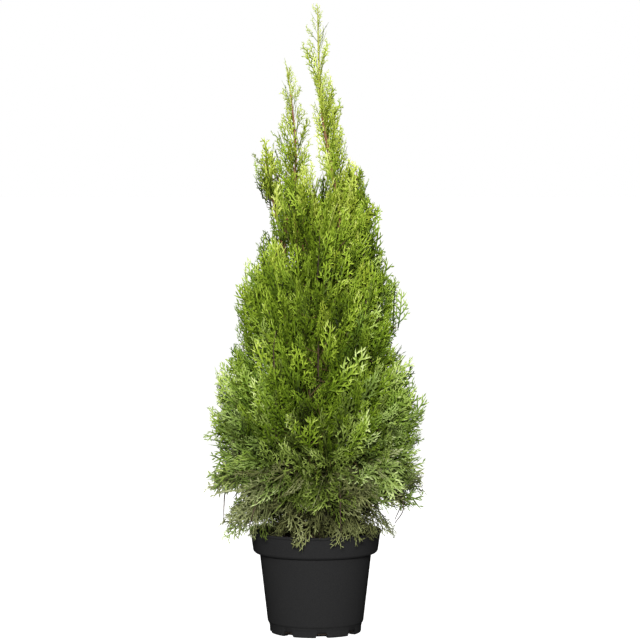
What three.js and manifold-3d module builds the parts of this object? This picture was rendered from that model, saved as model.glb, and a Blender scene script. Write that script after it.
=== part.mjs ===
// A young thuja in its black nursery pot, in millimetres, +Z up.
// The origin is the middle of the pot's flat underside, and the front faces -Y.
// Azimuths are in degrees, anticlockwise seen from above: 0 is right, 90 back, 180 left, 270 front.

import * as THREE from "three";
import { mergeVertices } from "three/addons/utils/BufferGeometryUtils.js";
import Module from "manifold-3d";

const wasm = await Module();
wasm.setup();

// ---------------------------------------------------------------- driving dimensions

const GAP = 0.4; // clearance between neighbouring pieces
const CROWN_X = 4; // the crown's middle stands a little right of the pot's

const POT = {
  height: 180,
  wall: 2,
  floor: 3,
  sides: 28,
  lipRadius: 116,
  lipHeight: 3.5,
  rimRadius: 114,
  bandHeight: 40,
  bandFootRadius: 109,
  bandChamfer: 4,
  bodyTopRadius: 98,
  bodyFootRadius: 84,
  footHeight: 17,
  footRadius: 80,
  footChamfer: 2,
  edge: 1,
  ledge: 3,
};
const NOTCH = { count: 8, first: 278, topWidth: 16, footWidth: 22, height: 8, depth: 9 };
const SOIL = { top: 161, roughness: 2.2, lumpSize: 40, flatRadius: 26, rings: 2 };

const TRUNK = {
  sides: 8,
  steps: 19,
  footRadius: 8.6,
  tipRadius: 1.1,
  taper: 0.8,
  flare: 5.5,
  flareHeight: 34,
  ribs: 4,
  ribHeight: 0.35,
};
const LEADER = { sides: 6, steps: 13, footRadius: 5, tipRadius: 1 };
const BOUGH = { sides: 5, steps: 2, sag: 0.08, entry: 0.3, unevenness: 12 };
const MASS = { sides: 9, rings: 7, unevenness: 0.2, fingers: 0.09, lowness: 0.8, bluntness: 0.7 };

const FAR = 420; // beyond the crown's reach on any side
const SKY = 1300; // above its top

// Each tier is a ring of masses. Radii (r) are from the crown's middle, heights (z) from the ground.
// A mass runs from its foot past its shoulder to its tip; its bough leaves the stem at boughZ.
const TIERS = [
  {
    name: "skirt",
    colour: 0x6d7340,
    count: 7,
    first: 180 / 7,
    foot: { r: 52, z: 244 },
    shoulder: { r: 208, z: 322 },
    tip: { r: 146, z: 158 },
    width: 76,
    depth: 47,
    boughZ: 214,
    boughRadius: [3.6, 2.6],
    tipSpread: { r: 7, z: 12 },
  },
  {
    name: "lower",
    colour: 0x6f8a38,
    count: 6,
    first: 0,
    foot: { r: 68, z: 262 },
    shoulder: { r: 176, z: 325 },
    tip: { r: 118, z: 575 },
    width: 88,
    depth: 62,
    boughZ: 268,
    boughRadius: [4, 2.8],
    tipSpread: { r: 8, z: 22 },
  },
  {
    name: "middle",
    colour: 0x7c9a3a,
    count: 6,
    first: 30,
    foot: { r: 44, z: 446 },
    shoulder: { r: 128, z: 530 },
    tip: { r: 72, z: 768 },
    width: 82,
    depth: 50,
    boughZ: 412,
    boughRadius: [3.4, 2.3],
    tipSpread: { r: 7, z: 22 },
  },
  {
    name: "upper",
    colour: 0x9ab34c,
    count: 6,
    first: 0,
    foot: { r: 28, z: 630 },
    shoulder: { r: 88, z: 690 },
    tip: { r: 56, z: 832 },
    width: 60,
    depth: 38,
    boughZ: 602,
    boughRadius: [2.6, 1.7],
    tipSpread: { r: 6, z: 16 },
  },
];

const CONE_SIDES = 24;

// Masses that depart from their tier's plan: the crown is notched on the left under its tuft, its
// skirt is shorter on the right, and its sides are not quite alike.
const DEPARTURES = {
  skirt_foliage_1: { shoulder: { r: 226, z: 318 }, tip: { r: 112, z: 166 } },
  skirt_foliage_4: { shoulder: { r: 208, z: 328 }, tip: { r: 142, z: 146 } },
  skirt_foliage_7: { shoulder: { r: 226, z: 318 }, tip: { r: 123, z: 169 } },
  lower_foliage_1: { shoulder: { r: 181, z: 316 }, tip: { r: 103, z: 560 } },
  lower_foliage_4: { shoulder: { r: 167, z: 316 }, tip: { r: 120, z: 575 } },
  middle_foliage_3: { tip: { r: 76, z: 716 } },
  middle_foliage_4: { tip: { r: 76, z: 716 } },
};

// The surfaces between one tier and the next: cones, by their height at the middle and their rise.
const TIER_CONES = [
  { z: 352, rise: -0.34 },
  { z: 400, rise: 1.0 },
  { z: 585, rise: 1.45 },
];

// ---------------------------------------------------------------- solids and helpers

const radians = THREE.MathUtils.degToRad;
const lerp = THREE.MathUtils.lerp;
const smoothstep = THREE.MathUtils.smoothstep;

/** A closed manifold solid from a three.js geometry: vertices merged, collapsed triangles dropped. */
function solidOf(geometry) {
  const bare = geometry.clone();
  bare.deleteAttribute("normal");
  bare.deleteAttribute("uv");
  const merged = mergeVertices(bare, 1e-3);
  const index = merged.index.array;
  const triangles = [];
  for (let i = 0; i < index.length; i += 3) {
    const [a, b, c] = [index[i], index[i + 1], index[i + 2]];
    if (a !== b && b !== c && c !== a) triangles.push(a, b, c);
  }
  return new wasm.Manifold(
    new wasm.Mesh({
      numProp: 3,
      vertProperties: new Float32Array(merged.attributes.position.array),
      triVerts: new Uint32Array(triangles),
    }),
  );
}

function geometryOf(solid) {
  const mesh = solid.getMesh();
  const geometry = new THREE.BufferGeometry();
  geometry.setAttribute("position", new THREE.BufferAttribute(mesh.vertProperties, 3));
  geometry.setIndex(new THREE.BufferAttribute(mesh.triVerts, 1));
  geometry.computeVertexNormals();
  return geometry;
}

/** The largest of the bodies that cutting has left. */
function largest(solid) {
  const bodies = solid.decompose();
  return bodies.reduce((best, body) => (body.volume() > best.volume() ? body : best));
}

/** A solid of revolution about Z, from [radius, height] points that start and end on the axis. */
function turned(profile, sides) {
  const points = profile.map(([radius, height]) => new THREE.Vector2(radius, height));
  return new THREE.LatheGeometry(points, sides).rotateX(Math.PI / 2);
}

/** The point at an azimuth, radius and height about the crown's middle. */
function around(azimuth, radius, height) {
  const turn = radians(azimuth);
  return new THREE.Vector3(CROWN_X + radius * Math.cos(turn), radius * Math.sin(turn), height);
}

/** Smooth bumps, about -1 to 1, that differ from seed to seed. */
function bumps(angle, along, seed) {
  const broad = Math.sin(2 * angle + 4.1 * along + 1.7 * seed);
  const middling = Math.sin(3 * angle - 6.7 * along + 2.9 * seed);
  const fine = Math.sin(5 * angle + 9.3 * along + 4.3 * seed);
  return 0.5 * broad + 0.3 * middling + 0.2 * fine;
}

/** A number from -1 to 1 that looks random and is the same each time. */
function scatter(seed) {
  const wave = Math.sin(seed * 127.1 + 11.7) * 43758.5453;
  return 2 * (wave - Math.floor(wave)) - 1;
}

/** A tapering limb: a closed cylinder bent along a curve, with its radius given by a function. */
function limb(curve, radiusAt, sides, steps) {
  const geometry = new THREE.CylinderGeometry(1, 1, 1, sides, steps);
  const frames = curve.computeFrenetFrames(steps);
  const position = geometry.attributes.position;
  for (let i = 0; i < position.count; i++) {
    const along = position.getY(i) + 0.5;
    const step = Math.round(along * steps);
    const angle = Math.atan2(position.getX(i), position.getZ(i));
    const reach = Math.hypot(position.getX(i), position.getZ(i)) * radiusAt(along, angle);
    const point = curve.getPointAt(along);
    point.addScaledVector(frames.normals[step], Math.cos(angle) * reach);
    point.addScaledVector(frames.binormals[step], Math.sin(angle) * reach);
    position.setXYZ(i, point.x, point.y, point.z);
  }
  return geometry;
}

// ---------------------------------------------------------------- pot and soil

function makePot() {
  const bandFoot = POT.height - POT.bandHeight;
  const bodyTop = bandFoot - POT.edge;
  const inner = (radius) => radius - POT.wall;
  const outside = [
    [0, 0],
    [POT.footRadius - POT.footChamfer, 0],
    [POT.footRadius, POT.footChamfer],
    [POT.footRadius + POT.edge, POT.footHeight - POT.footChamfer],
    [POT.bodyFootRadius, POT.footHeight],
    [POT.bodyTopRadius, bodyTop],
    [POT.bandFootRadius - POT.bandChamfer, bandFoot],
    [POT.bandFootRadius, bandFoot + POT.bandChamfer],
    [POT.rimRadius, POT.height - POT.lipHeight],
    [POT.lipRadius, POT.height - POT.lipHeight + POT.edge],
    [POT.lipRadius, POT.height - POT.edge],
    [POT.lipRadius - POT.edge, POT.height],
  ];
  const inside = [
    [inner(POT.rimRadius), POT.height],
    [inner(POT.bandFootRadius), bandFoot + POT.wall + POT.ledge],
    [inner(POT.bodyTopRadius), bandFoot + POT.wall],
    [inner(POT.bodyFootRadius), POT.footHeight + POT.wall],
    [inner(POT.footRadius), POT.footHeight],
    [inner(POT.footRadius) - POT.edge, POT.floor],
    [0, POT.floor],
  ];
  const shell = solidOf(turned([...outside, ...inside], POT.sides));
  return largest(drainageNotches().reduce((pot, notch) => pot.subtract(notch), shell));
}

/** Trapezoid notches through the foot of the wall, evenly spaced round the pot. */
function drainageNotches() {
  const under = -1;
  const shape = new THREE.Shape([
    new THREE.Vector2(-NOTCH.footWidth / 2, under),
    new THREE.Vector2(NOTCH.footWidth / 2, under),
    new THREE.Vector2(NOTCH.topWidth / 2, NOTCH.height),
    new THREE.Vector2(-NOTCH.topWidth / 2, NOTCH.height),
  ]);
  const notches = [];
  for (let i = 0; i < NOTCH.count; i++) {
    const geometry = new THREE.ExtrudeGeometry(shape, { depth: 2 * NOTCH.depth, bevelEnabled: false });
    geometry.rotateX(Math.PI / 2);
    geometry.translate(0, -(POT.footRadius - NOTCH.depth), 0);
    geometry.rotateZ(radians(NOTCH.first - 270 + (i * 360) / NOTCH.count));
    notches.push(solidOf(geometry));
  }
  return notches;
}

/** The compost: it fills the pot to just under the rim, and its top is rough but for the middle. */
function makeSoil() {
  const bandFoot = POT.height - POT.bandHeight;
  const inner = (radius) => radius - POT.wall - GAP;
  const bandInside = bandFoot + POT.wall + POT.ledge;
  const bandShare = (SOIL.top - bandInside) / (POT.height - bandInside);
  const topRadius = inner(lerp(POT.bandFootRadius, POT.rimRadius, bandShare)) - GAP;
  const footInner = inner(POT.footRadius);
  const profile = [
    [0, POT.floor + GAP],
    [footInner - POT.edge - GAP / 2, POT.floor + GAP],
    [footInner - GAP / 2, POT.footHeight + GAP],
    [inner(POT.bodyFootRadius), POT.footHeight + POT.wall + GAP],
    [inner(POT.bodyTopRadius), bandFoot + POT.wall + GAP],
    [inner(POT.bandFootRadius), bandInside + GAP],
    [topRadius, SOIL.top - SOIL.roughness],
  ];
  for (let ring = SOIL.rings; ring > 0; ring--) {
    const share = ring / (SOIL.rings + 0.5);
    profile.push([lerp(SOIL.flatRadius, topRadius, share), SOIL.top]);
  }
  profile.push([SOIL.flatRadius, SOIL.top], [0, SOIL.top]);
  const geometry = turned(profile, POT.sides);
  const position = geometry.attributes.position;
  for (let i = 0; i < position.count; i++) {
    const radius = Math.hypot(position.getX(i), position.getY(i));
    const isRough = position.getZ(i) > SOIL.top - 1 && radius > SOIL.flatRadius + 1;
    if (isRough) {
      const angle = Math.atan2(position.getY(i), position.getX(i));
      position.setZ(i, SOIL.top + SOIL.roughness * bumps(angle, radius / SOIL.lumpSize, 3));
    }
  }
  return solidOf(geometry);
}

// ---------------------------------------------------------------- trunk, second leader and boughs

const soilSurface = SOIL.top + GAP;

// The trunk rises almost straight, bows right through the crown and comes back under its tip.
const trunkLine = new THREE.CatmullRomCurve3([
  new THREE.Vector3(0, 0, soilSurface),
  new THREE.Vector3(1, 0, 200),
  new THREE.Vector3(5, 2, 280),
  new THREE.Vector3(18, 5, 410),
  new THREE.Vector3(36, 2, 580),
  new THREE.Vector3(42, -4, 690),
  new THREE.Vector3(30, -5, 805),
  new THREE.Vector3(14, 0, 890),
  new THREE.Vector3(6, 3, 985),
  new THREE.Vector3(4, 2, 1090),
]);

// The second leader leaves the trunk low down and stands left of it, a little nearer the front.
const leaderLine = new THREE.CatmullRomCurve3([
  new THREE.Vector3(4, 1, 262),
  new THREE.Vector3(-4, -4, 320),
  new THREE.Vector3(-22, -10, 450),
  new THREE.Vector3(-46, -14, 590),
  new THREE.Vector3(-56, -14, 676),
  new THREE.Vector3(-46, -11, 745),
  new THREE.Vector3(-33, -8, 830),
  new THREE.Vector3(-39, -8, 905),
  new THREE.Vector3(-49, -6, 985),
]);

/** The trunk's radius: an even taper, with the root flare's ribs at the foot. */
function trunkRadius(along, angle) {
  const height = along * trunkLine.getLength();
  const flare = Math.exp((-3 * height) / TRUNK.flareHeight) * TRUNK.flare;
  const ribs = 1 + TRUNK.ribHeight * Math.sin(TRUNK.ribs * angle + 0.6);
  return lerp(TRUNK.footRadius, TRUNK.tipRadius, Math.pow(along, TRUNK.taper)) + flare * ribs;
}

function makeTrunk(extra = 0) {
  const radiusAt = (along, angle) => trunkRadius(along, angle) + extra;
  const geometry = limb(trunkLine, radiusAt, TRUNK.sides, TRUNK.steps);
  const position = geometry.attributes.position;
  for (let i = 0; i < position.count; i++) {
    if (position.getZ(i) < soilSurface + 3) position.setZ(i, soilSurface - extra);
  }
  return solidOf(geometry);
}

function makeLeader(extra = 0) {
  const radiusAt = (along) => lerp(LEADER.footRadius, LEADER.tipRadius, along) + extra;
  return solidOf(limb(leaderLine, radiusAt, LEADER.sides, LEADER.steps));
}

/** The point of a stem's line at a height. */
function stemAt(line, height) {
  let [low, high] = [0, 1];
  for (let i = 0; i < 30; i++) {
    const middle = (low + high) / 2;
    if (line.getPointAt(middle).z < height) low = middle;
    else high = middle;
  }
  return line.getPointAt(low);
}

/** One bough, from its stem up and out into its mass, with its end still inside the mass. */
function makeBough({ stem, boughZ, boughRadius, foot, shoulder }, extra = 0) {
  const start = stemAt(stem, boughZ);
  const end = foot.clone().lerp(shoulder, BOUGH.entry);
  const middle = start.clone().lerp(end, 0.5);
  middle.z -= start.distanceTo(end) * BOUGH.sag;
  const line = new THREE.QuadraticBezierCurve3(start, middle, end);
  const radiusAt = (along) => lerp(boughRadius[0], boughRadius[1], along) + extra;
  return solidOf(limb(line, radiusAt, BOUGH.sides, BOUGH.steps));
}

// ---------------------------------------------------------------- foliage masses

/** How full a mass is along its length: widest a little below its middle, and blunt at both ends. */
function fullness(along) {
  return Math.pow(Math.sin(Math.PI * Math.pow(along, MASS.lowness)), MASS.bluntness);
}

/**
 * One mass: a ball drawn out along a bent spine, uneven all round, with blunt fingers near its tip.
 * Its width lies level across its azimuth, and its depth square to that and to the spine.
 */
function makeMass({ foot, shoulder, tip, azimuth, width, depth, seed }, extra = 0) {
  const spine = new THREE.QuadraticBezierCurve3(foot, shoulder, tip);
  const side = new THREE.Vector3(-Math.sin(radians(azimuth)), Math.cos(radians(azimuth)), 0);
  const geometry = new THREE.SphereGeometry(1, MASS.sides, MASS.rings);
  const position = geometry.attributes.position;
  for (let i = 0; i < position.count; i++) {
    const along = 1 - Math.acos(THREE.MathUtils.clamp(position.getY(i), -1, 1)) / Math.PI;
    const angle = Math.atan2(position.getX(i), position.getZ(i));
    const tangent = spine.getTangent(along);
    const out = new THREE.Vector3().crossVectors(side, tangent).normalize();
    const isPole = along < 1e-6 || along > 1 - 1e-6;
    const poleShift = along < 0.5 ? -extra : extra;
    const bulge = isPole ? 0 : fullness(along) * (1 + MASS.unevenness * bumps(angle, along, seed));
    const grown = isPole ? 0 : extra;
    const rise = smoothstep(along, 0.45, 0.8) * smoothstep(1 - along, 0, 0.1);
    const finger = MASS.fingers * spine.getLength() * rise * Math.sin(3 * angle + 2.1 * seed);
    const point = spine.getPoint(along);
    point.addScaledVector(out, Math.cos(angle) * (bulge * depth + grown));
    point.addScaledVector(side, Math.sin(angle) * (bulge * width + grown));
    point.addScaledVector(tangent, isPole ? poleShift : finger);
    position.setXYZ(i, point.x, point.y, point.z);
  }
  return solidOf(geometry);
}

/** The upright wedge that a mass of a tier may fill, between the radial planes of its neighbours. */
function makeWedge(azimuth, spanDegrees) {
  const half = radians(spanDegrees / 2);
  const apex = GAP / 2 / Math.sin(half);
  const shape = new THREE.Shape([
    new THREE.Vector2(apex, 0),
    new THREE.Vector2(apex + FAR, -FAR * Math.tan(half)),
    new THREE.Vector2(apex + FAR, FAR * Math.tan(half)),
  ]);
  const geometry = new THREE.ExtrudeGeometry(shape, { depth: SKY, bevelEnabled: false });
  geometry.rotateZ(radians(azimuth));
  geometry.translate(CROWN_X, 0, 0);
  return solidOf(geometry);
}

/** All that lies above the cone between two tiers, raised by a clearance. */
function aboveCone({ z, rise }, clearance) {
  const foot = z + clearance * Math.hypot(1, rise);
  const profile = [
    [0, foot],
    [FAR, foot + rise * FAR],
    [FAR, SKY],
    [0, SKY],
  ];
  return solidOf(turned(profile, CONE_SIDES).translate(CROWN_X, 0, 0));
}

// The upper left mass is a small tuft that stands off the crown on a bare bough of the second leader.
const TUFT = {
  name: "upper_foliage_4",
  foot: new THREE.Vector3(-66, -12, 746),
  shoulder: new THREE.Vector3(-92, -14, 782),
  tip: new THREE.Vector3(-82, -12, 870),
  width: 32,
  depth: 22,
  stem: leaderLine,
  boughZ: 676,
};

/** The plan of every mass in the tiers: where it stands, how big it is and which stem feeds it. */
function planTiers() {
  const plans = [];
  TIERS.forEach((tier, level) => {
    for (let i = 0; i < tier.count; i++) {
      const name = `${tier.name}_foliage_${i + 1}`;
      const { foot, shoulder, tip } = { ...tier, ...DEPARTURES[name] };
      const azimuth = tier.first + (i * 360) / tier.count;
      const seed = 10 * (level + 1) + i;
      const tipR = tip.r + tier.tipSpread.r * scatter(seed);
      const tipZ = tip.z + tier.tipSpread.z * scatter(seed + 0.5);
      plans.push({
        name,
        boughName: `${tier.name}_bough_${i + 1}`,
        colour: tier.colour,
        level,
        azimuth,
        span: 360 / tier.count,
        seed,
        foot: around(azimuth, foot.r, foot.z),
        shoulder: around(azimuth, shoulder.r, shoulder.z),
        tip: around(azimuth, tipR, tipZ),
        width: tier.width,
        depth: tier.depth,
        stem: trunkLine,
        boughZ: tier.boughZ + BOUGH.unevenness * scatter(seed + 0.25),
        boughRadius: tier.boughRadius,
        ...(name === TUFT.name ? TUFT : {}),
      });
    }
  });
  return plans;
}

// The two leaders carry masses of their own, which close round their stems.
const LEADER_MASSES = [
  {
    name: "leader_tip_foliage",
    colour: 0xb9c46a,
    azimuth: 0,
    seed: 61,
    foot: new THREE.Vector3(12, 0, 915),
    shoulder: new THREE.Vector3(-7, 2, 1010),
    tip: new THREE.Vector3(4, 2, 1101),
    width: 28,
    depth: 28,
  },
  {
    name: "leader_foliage",
    colour: 0xaabb58,
    azimuth: 0,
    seed: 64,
    foot: new THREE.Vector3(32, -4, 765),
    shoulder: new THREE.Vector3(22, -2, 860),
    tip: new THREE.Vector3(18, 0, 975),
    width: 35,
    depth: 34,
  },
  {
    name: "second_leader_foliage",
    colour: 0xaabb58,
    azimuth: 180,
    seed: 67,
    foot: new THREE.Vector3(-38, -9, 770),
    shoulder: new THREE.Vector3(-46, -9, 875),
    tip: new THREE.Vector3(-49, -6, 998),
    width: 24,
    depth: 24,
  },
];

// ---------------------------------------------------------------- the assembly

const BARK = 0x6b4a32;
const group = new THREE.Group();

function addPart(name, solid, colour, roughness) {
  const material = new THREE.MeshStandardMaterial({ color: colour, roughness, metalness: 0 });
  const mesh = new THREE.Mesh(geometryOf(solid), material);
  mesh.name = name;
  group.add(mesh);
}

const trunk = makeTrunk();
const grownTrunk = makeTrunk(GAP);
const leader = largest(makeLeader().subtract(grownTrunk));
const grownLeader = makeLeader(GAP);

addPart("pot", makePot(), 0x1b1c1b, 0.45);
addPart("soil", makeSoil(), 0x2e231b, 0.95);
addPart("trunk", trunk, BARK, 0.85);
addPart("second_leader", leader, BARK, 0.85);

// Leader masses first, each clear of the stems and of the ones before it.
const leaderCutters = [];
for (const plan of LEADER_MASSES) {
  let mass = makeMass(plan).subtract(grownTrunk).subtract(grownLeader);
  for (const cutter of leaderCutters) mass = mass.subtract(cutter);
  leaderCutters.push(makeMass(plan, GAP));
  addPart(plan.name, largest(mass), plan.colour, 0.8);
}

// Then the tiers: each mass keeps to its wedge and between its cones, clear of stems and boughs.
const plans = planTiers();
const grownBoughs = plans.map((plan) => makeBough(plan, GAP));
const conesBelow = TIER_CONES.map((cone) => aboveCone(cone, GAP / 2));
const conesAbove = TIER_CONES.map((cone) => aboveCone(cone, -GAP / 2));

plans.forEach((plan, own) => {
  let mass = makeMass(plan).intersect(makeWedge(plan.azimuth, plan.span));
  if (plan.level > 0) mass = mass.intersect(conesBelow[plan.level - 1]);
  if (plan.level < TIER_CONES.length) mass = mass.subtract(conesAbove[plan.level]);
  mass = mass.subtract(grownTrunk).subtract(grownLeader);
  for (const cutter of leaderCutters) mass = mass.subtract(cutter);
  grownBoughs.forEach((bough, other) => {
    if (other !== own) mass = mass.subtract(bough);
  });
  mass = largest(mass);
  addPart(plan.name, mass, plan.colour, 0.8);

  const back = stemAt(plan.stem, plan.boughZ).sub(plan.foot).setLength(GAP);
  let bough = makeBough(plan).subtract(grownTrunk).subtract(grownLeader);
  bough = bough.subtract(mass).subtract(mass.translate(back.x, back.y, back.z));
  addPart(plan.boughName, largest(bough), BARK, 0.85);
});

export default group;
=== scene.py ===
"""Looks of a young thuja in a black nursery pot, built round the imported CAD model.

Every foliage mass of the CAD model is an envelope. Twigs grow into it from its bough by a seeded
rule, and each twig ends in a flat spray of scale-leaf branchlets. Lengths are in metres.
"""

import math

import bpy
import numpy as np
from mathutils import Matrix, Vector, noise
from mathutils.bvhtree import BVHTree


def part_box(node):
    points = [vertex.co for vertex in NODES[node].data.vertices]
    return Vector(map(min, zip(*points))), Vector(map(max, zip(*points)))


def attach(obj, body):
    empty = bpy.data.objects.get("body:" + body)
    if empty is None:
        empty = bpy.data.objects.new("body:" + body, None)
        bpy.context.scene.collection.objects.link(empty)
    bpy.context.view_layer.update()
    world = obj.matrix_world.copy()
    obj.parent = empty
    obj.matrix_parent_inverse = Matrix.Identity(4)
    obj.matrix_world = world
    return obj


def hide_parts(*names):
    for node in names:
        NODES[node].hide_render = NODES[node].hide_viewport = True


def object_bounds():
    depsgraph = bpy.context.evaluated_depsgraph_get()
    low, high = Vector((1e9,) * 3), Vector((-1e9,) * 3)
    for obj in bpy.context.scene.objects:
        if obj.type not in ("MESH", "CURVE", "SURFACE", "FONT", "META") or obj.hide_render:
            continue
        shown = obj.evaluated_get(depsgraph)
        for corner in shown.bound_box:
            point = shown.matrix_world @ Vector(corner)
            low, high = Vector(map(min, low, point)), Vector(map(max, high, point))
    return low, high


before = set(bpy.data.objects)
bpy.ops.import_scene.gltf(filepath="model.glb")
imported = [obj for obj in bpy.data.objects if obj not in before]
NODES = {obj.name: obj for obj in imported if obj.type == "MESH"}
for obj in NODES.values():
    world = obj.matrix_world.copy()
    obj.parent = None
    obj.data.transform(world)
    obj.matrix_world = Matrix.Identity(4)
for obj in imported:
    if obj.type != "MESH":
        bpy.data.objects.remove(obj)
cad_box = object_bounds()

MM = 0.001
SEED = 41
CROWN_X = 0.004  # the crown's middle stands a little right of the pot's


# ---- frame geometry

def node_arrays(name):
    """A CAD node's vertices and triangles."""
    mesh = NODES[name].data
    mesh.calc_loop_triangles()
    verts = np.empty(len(mesh.vertices) * 3)
    mesh.vertices.foreach_get("co", verts)
    tris = np.empty(len(mesh.loop_triangles) * 3, np.int64)
    mesh.loop_triangles.foreach_get("vertices", tris)
    return verts.reshape(-1, 3), tris.reshape(-1, 3)


def unit(vectors):
    length = np.linalg.norm(vectors, axis=-1, keepdims=True)
    return vectors / np.maximum(length, 1e-12)


def cut_through(name, direction, levels):
    """Centre and mean radius of each cut through a node square to a direction."""
    verts, tris = node_arrays(name)
    height = verts @ direction
    edges = np.concatenate([tris[:, [0, 1]], tris[:, [1, 2]], tris[:, [2, 0]]])
    starts, ends = edges.T
    middles, radii = [], []
    for level in levels:
        cut = (height[starts] - level) * (height[ends] - level) < 0
        a, b = starts[cut], ends[cut]
        share = (level - height[a]) / (height[b] - height[a])
        points = verts[a] + share[:, None] * (verts[b] - verts[a])
        middle = (points.max(0) + points.min(0)) / 2
        middles.append(middle)
        radii.append(np.linalg.norm(points - middle, axis=1).mean())
    return np.array(middles), np.array(radii)


def cuts_between(name, direction, count, trim):
    """Even cuts through a node along a direction, leaving out a share at either end."""
    direction = unit(np.asarray(direction, float))
    height = node_arrays(name)[0] @ direction
    low, high = height.min(), height.max()
    margin = trim * (high - low)
    return cut_through(name, direction, np.linspace(low + margin, high - margin, count))


def envelope(name):
    verts, tris = node_arrays(name)
    return BVHTree.FromPolygons(verts.tolist(), tris.tolist())


def surface_distance(tree, points, directions, missed):
    """How far a mass's surface is from each point along a direction, or what to say where it is missed."""
    hits = [tree.ray_cast(Vector(point), Vector(way)) for point, way in zip(points, directions)]
    return np.array([missed if hit[0] is None else hit[3] for hit in hits])


CURVE_STEPS = 12  # between two of the points that a curve goes through


def resample(points, step):
    """Points about a step apart along a smooth curve through the given ones, with the curve's tangents
    there and the share of its length up to each.
    """
    points = np.asarray(points, float)
    padded = np.vstack([2 * points[0] - points[1], points, 2 * points[-1] - points[-2]])
    dense = []
    for i in range(len(points) - 1):
        p0, p1, p2, p3 = padded[i:i + 4]
        t = np.linspace(0, 1, CURVE_STEPS, endpoint=False)[:, None]
        dense.append(0.5 * (2 * p1 + (p2 - p0) * t + (2 * p0 - 5 * p1 + 4 * p2 - p3) * t ** 2
                            + (3 * p1 - p0 - 3 * p2 + p3) * t ** 3))
    dense = np.vstack([*dense, points[-1:]])
    run = np.concatenate([[0], np.cumsum(np.linalg.norm(np.diff(dense, axis=0), axis=1))])
    count = max(2, int(round(run[-1] / step)) + 1)
    at = np.linspace(0, run[-1], count)
    line = np.stack([np.interp(at, run, dense[:, k]) for k in range(3)], axis=1)
    return line, unit(np.gradient(line, axis=0)), at / run[-1]


# ---- mesh building

class Soup:
    """Triangles gathered from many small shapes before they become one mesh."""

    def __init__(self):
        self.verts, self.tris, self.shades, self.count = [], [], [], 0

    def add(self, verts, tris, shades=None):
        self.verts.append(verts)
        self.tris.append(tris + self.count)
        self.shades.append(np.zeros(len(tris), np.int32) if shades is None else shades)
        self.count += len(verts)

    def merge(self, other):
        self.tris.extend(tris + self.count for tris in other.tris)
        self.verts.extend(other.verts)
        self.shades.extend(other.shades)
        self.count += other.count

    def size(self):
        return sum(len(tris) for tris in self.tris)

    def piece(self, name, materials, smooth):
        verts, tris = np.concatenate(self.verts), np.concatenate(self.tris)
        shades = np.concatenate(self.shades)
        used, index = np.unique(shades, return_inverse=True)
        mesh = bpy.data.meshes.new(name)
        mesh.vertices.add(len(verts))
        mesh.vertices.foreach_set("co", verts.astype(np.float32).ravel())
        mesh.loops.add(3 * len(tris))
        mesh.loops.foreach_set("vertex_index", tris.astype(np.int32).ravel())
        mesh.polygons.add(len(tris))
        mesh.polygons.foreach_set("loop_start", np.arange(0, 3 * len(tris), 3, dtype=np.int32))
        for shade in used:
            mesh.materials.append(materials[shade])
        mesh.polygons.foreach_set("material_index", index.astype(np.int32).ravel())
        mesh.polygons.foreach_set("use_smooth", np.full(len(tris), smooth))
        mesh.update(calc_edges=True)
        obj = bpy.data.objects.new(name, mesh)
        bpy.context.scene.collection.objects.link(obj)
        return obj


def place(obj, replaced=()):
    """A finished piece rides on the one body, in place of its CAD nodes."""
    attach(obj, "root")
    if replaced:
        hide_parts(*replaced)


def section_axes(tangents):
    """Two unit vectors square to each tangent, turning as little as possible along the line."""
    first = np.cross(tangents[0], [0.0, 1.0, 0.0])
    if np.linalg.norm(first) < 0.2:
        first = np.cross(tangents[0], [1.0, 0.0, 0.0])
    sides = [unit(first)]
    for tangent in tangents[1:]:
        side = sides[-1] - tangent * (sides[-1] @ tangent)
        sides.append(unit(side))
    sides = np.array(sides)
    return sides, np.cross(tangents, sides)


def ring_tris(count, sides):
    """Triangles of the skin over a row of rings, and of the fans from the two end points that follow."""
    grid = np.arange(count * sides).reshape(count, sides)
    a, b = grid[:-1], np.roll(grid[:-1], -1, axis=1)
    c, d = grid[1:], np.roll(grid[1:], -1, axis=1)
    skin = np.concatenate([np.stack([a, b, d], -1).reshape(-1, 3), np.stack([a, d, c], -1).reshape(-1, 3)])
    first = np.stack([np.full(sides, grid.size), np.roll(grid[0], -1), grid[0]], -1)
    last = np.stack([np.full(sides, grid.size + 1), grid[-1], np.roll(grid[-1], -1)], -1)
    return skin, np.vstack([first, last])


def tube(points, tangents, radii, sides, relief=None, caps=True):
    """A tube along a line; relief gives each point of its skin a factor on the radius."""
    across, up = section_axes(tangents)
    angles = np.linspace(0, 2 * math.pi, sides, endpoint=False)
    ring = np.cos(angles)[None, :, None] * across[:, None] + np.sin(angles)[None, :, None] * up[:, None]
    reach = radii[:, None] * (1 if relief is None else relief)
    verts = (points[:, None] + ring * (reach * np.ones(sides))[..., None]).reshape(-1, 3)
    skin, fans = ring_tris(len(points), sides)
    if not caps:
        return verts, skin
    return np.vstack([verts, points[0], points[-1]]), np.vstack([skin, fans])


# ---- materials

def new_material(name, colour, roughness, specular):
    material = bpy.data.materials.new(name)
    material.use_nodes = True
    shader = material.node_tree.nodes["Principled BSDF"]
    shader.inputs["Base Color"].default_value = (*colour, 1)
    shader.inputs["Roughness"].default_value = roughness
    shader.inputs["Specular IOR Level"].default_value = specular
    return material


def add_node(material, kind, **values):
    node = material.node_tree.nodes.new(kind)
    for key, value in values.items():
        if key in node.inputs:
            node.inputs[key].default_value = value
        else:
            setattr(node, key, value)
    return node


def ramp(material, stops):
    node = material.node_tree.nodes.new("ShaderNodeValToRGB")
    elements = node.color_ramp.elements
    while len(elements) < len(stops):
        elements.new(0.5)
    for element, (position, colour) in zip(elements, stops):
        element.position = position
        element.color = (*colour, 1)
    return node


NOISE_ROUGHNESS = 0.62


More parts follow.
